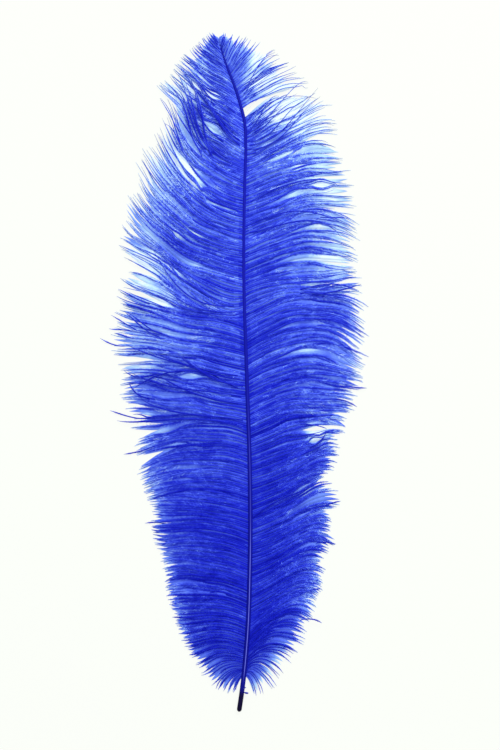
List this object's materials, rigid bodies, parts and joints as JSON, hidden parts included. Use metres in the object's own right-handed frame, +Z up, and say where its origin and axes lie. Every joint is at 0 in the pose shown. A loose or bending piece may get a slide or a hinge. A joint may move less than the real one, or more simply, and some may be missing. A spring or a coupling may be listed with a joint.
{
  "type": "ostrich feather",
  "caption": "Dyed blue ostrich feather with a bare dark quill, a slim shaft that bends near the tip, and a soft vane of parted locks on each side, lying flat.",
  "frame": {"origin": "middle of the underside of its box, on the surface that the feather lies on", "axes": "+Y along the feather from the quill to the tip, +Z up from the surface, +X to the right seen from above with the tip away"},
  "size_m": [0.1622, 0.4064, 0.0087],
  "materials": {
    "dyed_feather": "royal blue dye on soft down, with a satin shaft and a near-black quill end"
  },
  "bodies": {
    "root": {"feather": "dyed_feather"}
  },
  "joints": []
}
